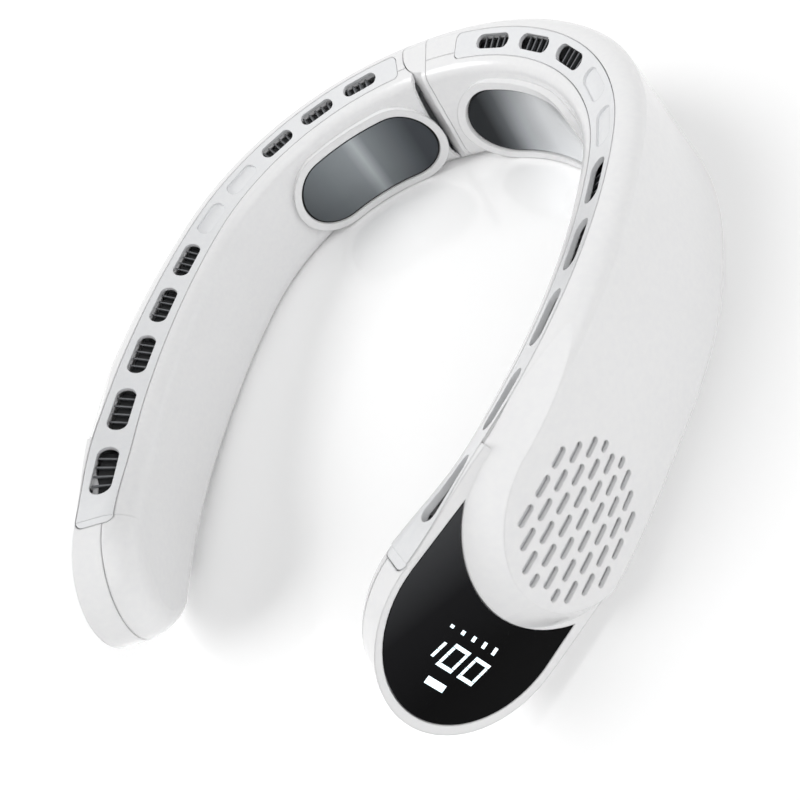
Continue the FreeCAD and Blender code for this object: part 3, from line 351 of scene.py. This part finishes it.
# polycarbonate light guide, lit: white figures with a cool edge
guideLook = {"cool": "#C4F0FF", "white": "#FFFFFF", "body": "#DDE6EA", "glow": 0.9, "grain": 0.8,
             "gloss": (0.29, 0.4), "relief": 0.05}


def lightGuide(name, look):
    material, tree, output = newMaterial(name)
    place = addNode(tree, "ShaderNodeTexCoord")
    grain = addNode(tree, "ShaderNodeTexNoise", {"Scale": perMetre(look["grain"])},
                    {"Vector": place.outputs["Object"]})
    tint = addNode(tree, "ShaderNodeValToRGB", None, {"Fac": grain.outputs["Fac"]})
    setRamp(tint, [(surfaceBase["tintStart"], look["cool"]), (surfaceBase["tintEnd"], look["white"])])
    gloss = addNode(tree, "ShaderNodeMapRange", {"To Min": look["gloss"][0], "To Max": look["gloss"][1]},
                    {"Value": grain.outputs["Fac"]})
    relief = addNode(tree, "ShaderNodeBump", {
        "Strength": look["relief"], "Distance": surfaceBase["reliefDepth"]}, {
        "Height": grain.outputs["Fac"]})
    base = addNode(tree, "ShaderNodeBsdfPrincipled", {
        "Base Color": srgb(look["body"]), "Emission Strength": look["glow"]}, {
        "Emission Color": tint.outputs["Color"], "Roughness": gloss.outputs[0], "Normal": relief.outputs[0]})
    tree.links.new(base.outputs[0], output.inputs["Surface"])
    return material


litGuide = lightGuide("polycarbonateLit", guideLook)
# piano black with a painted reflection running across it, for the end panels and also the buttons
blackPanels = {name: paintedReflectionBlack("absPianoBlackPaintedReflection." + name, side) for name, side in armSides.items()}
# polished steel whose colour carries painted reflection bands, one set for each cooling plate
plates = {name: steelPolished("steelPolished." + name, side, plateLook[name + "PaintedReflections"])
          for name, side in armSides.items()}
finishes = {
    "inner_shell": "absGlossWhite", "outer_shell": "absGlossWhite", "vent_strip": "absGlossCoolWhite",
    "plate_frame": "absGlossWhite", "hinge_barrel": "absGlossWhite", "plate_seal": "siliconeMouldedBlack",
    "dust_mesh": "nylonWovenWhite", "air_duct": "absSparkedGrey", "impeller": "absSparkedGrey",
    "fan_scroll": "absSparkedGrey", "hinge_yoke": "absMouldedPaleGrey", "button_switches": "absSparkedBlackAndPaintedShade",
    "motor_base": "steelZincPlated", "fan_screws": "steelZincPlated", "charging_port": "steelZincPlated",
    "hinge_pin": "steelGround", "motor_shaft": "steelGround", "motor_bearing": "bronzeSintered",
    "motor_stator": "copperLacquered", "rotor_magnet": "ferriteBonded", "cooler_module": "aluminaFired",
    "heat_sink": "aluminiumExtruded", "battery_cell": "foilHeatSealed", "display_board": "boardSolderMasked",
    "control_board": "boardSolderMasked",
}
for name, piece in nodes.items():
    sideName = "left" if name.startswith("left_") else "right"
    key = name.split("_", 1)[1] if name.startswith(("right_", "left_")) else name
    if key == "end_panel":
        look = blackPanels[sideName]
    elif key in ("power_button", "cooling_button"):
        look = blackPanels["left"]
    elif key == "cold_plate":
        look = plates[sideName]
    elif key in ("display_digits", "display_marks", "display_bar"):
        look = litGuide
    else:
        look = surfaces[finishes[key]]
    piece.data.materials.clear()
    piece.data.materials.append(look)
print("finishes set")


# the arm's path in the shared frame, for pieces that follow it
armPath = {"backRadius": 0.074, "frontRadius": 0.205, "centreY": 0.020635, "topHeight": 0.0455, "tilt": 23,
           "length": 0.246, "roll": 25, "rollFall": 0.205, "rollEnd": 0.224}


def armPoint(side, station, along, out, depth):
    radius, quarter = armPath["backRadius"], math.pi / 2 * armPath["backRadius"]
    station += along
    if station <= quarter:
        turn = station / radius
        outward = Vector((math.sin(turn), math.cos(turn), 0))
        origin = outward * radius
    else:
        turn = (station - quarter) / armPath["frontRadius"]
        outward = Vector((math.cos(turn), -math.sin(turn), 0))
        origin = outward * armPath["frontRadius"] + Vector((radius - armPath["frontRadius"], 0, 0))
    tilt = math.radians(armPath["tilt"] * station / armPath["length"])
    fall = min(max((station - armPath["rollFall"]) / (armPath["rollEnd"] - armPath["rollFall"]), 0), 1)
    roll = math.tan(math.radians(armPath["roll"])) * (1 - fall * fall * (3 - 2 * fall))
    down = depth - out * roll  # depth is measured below the leaning top
    point = origin + Vector((0, armPath["centreY"], armPath["topHeight"]))
    point += outward * (out * math.cos(tilt) + down * math.sin(tilt))
    point.z += out * math.sin(tilt) - down * math.cos(tilt)
    return (side * point.x, point.y, point.z)


def addPiece(name, verts, faces, faceLooks, looks, body):
    mesh = bpy.data.meshes.new(name)
    mesh.from_pydata(verts, [], faces)
    for look in looks:
        mesh.materials.append(look)
    mesh.polygons.foreach_set("material_index", faceLooks)
    mesh.validate()
    piece = bpy.data.objects.new(name, mesh)
    bpy.context.scene.collection.objects.link(piece)
    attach(piece, body)


# louvre behind the air slots: a dark tray under each open slot, painted shade for the depth there, with up to
# five grey vanes standing in it
louvre = {
    "first": 0.0298, "pitch": 0.02, "count": 10, "blind": (4, 5), "halfLength": 0.0074, "leftStart": 0.0262,
    "neckReach": -0.0035, "outerReach": 0.0033, "trayDepth": 0.004, "trayThick": 0.0004, "traySteps": 6,
    "vaneTop": 0.0023, "vaneThick": 0.0005, "vaneGap": 0.0027, "vaneCount": 5, "vaneLean": 0.0006,
}


def addBar(verts, faces, faceLooks, sections, look, side):
    start, corners = len(verts), len(sections[0])
    for section in sections:
        verts.extend(section[::side])  # mirrored bars run the other way round, so all faces point outwards
    for k in range(len(sections) - 1):
        row = start + corners * k
        for j in range(corners):
            a, b = row + j, row + (j + 1) % corners
            faces.append((a, b, b + corners, a + corners))
    faces.append(tuple(reversed(range(start, start + corners))))
    faces.append(tuple(range(len(verts) - corners, len(verts))))
    faceLooks.extend([look] * (len(faces) - len(faceLooks)))


def addLouvre(sideName, side):
    verts, faces, faceLooks = [], [], []
    near, far = louvre["neckReach"], louvre["outerReach"]
    trayTop, trayFoot = louvre["trayDepth"], louvre["trayDepth"] + louvre["trayThick"]
    for number in range(1, louvre["count"] + 1):
        if number in louvre["blind"]:
            continue
        station = louvre["first"] + (number - 1) * louvre["pitch"]
        low, high = station - louvre["halfLength"], station + louvre["halfLength"]
        if sideName == "left":
            low = max(low, louvre["leftStart"])
        sections = []
        for k in range(louvre["traySteps"] + 1):
            at = low + (high - low) * k / louvre["traySteps"]
            sections.append([armPoint(side, at, 0, near, trayFoot), armPoint(side, at, 0, far, trayFoot),
                             armPoint(side, at, 0, far, trayTop), armPoint(side, at, 0, near, trayTop)])
        addBar(verts, faces, faceLooks, sections, 0, side)
        for vane in range(louvre["vaneCount"]):
            along = (vane - (louvre["vaneCount"] - 1) / 2) * louvre["vaneGap"]
            if station + along - louvre["vaneThick"] < low:
                continue
            half, lean = louvre["vaneThick"] / 2, louvre["vaneLean"]
            sections = []
            for out in (near, (near + far) / 2, far):
                sections.append([armPoint(side, station, along - half + lean, out, louvre["vaneTop"]),
                                 armPoint(side, station, along + half + lean, out, louvre["vaneTop"]),
                                 armPoint(side, station, along + half, out, trayTop),
                                 armPoint(side, station, along - half, out, trayTop)])
            addBar(verts, faces, faceLooks, sections, 1, side)
    # the tray's near black is painted shade; the vanes keep their own grey
    looks = [surfaces["absSparkedBlackAndPaintedShade"], surfaces["absMouldedMidGrey"]]  # tray, vanes
    addPiece(sideName + "VentLouvre", verts, faces, faceLooks, looks, sideName + "_arm")


for sideName, side in armSides.items():
    addLouvre(sideName, side)
print("louvres set behind the slots")
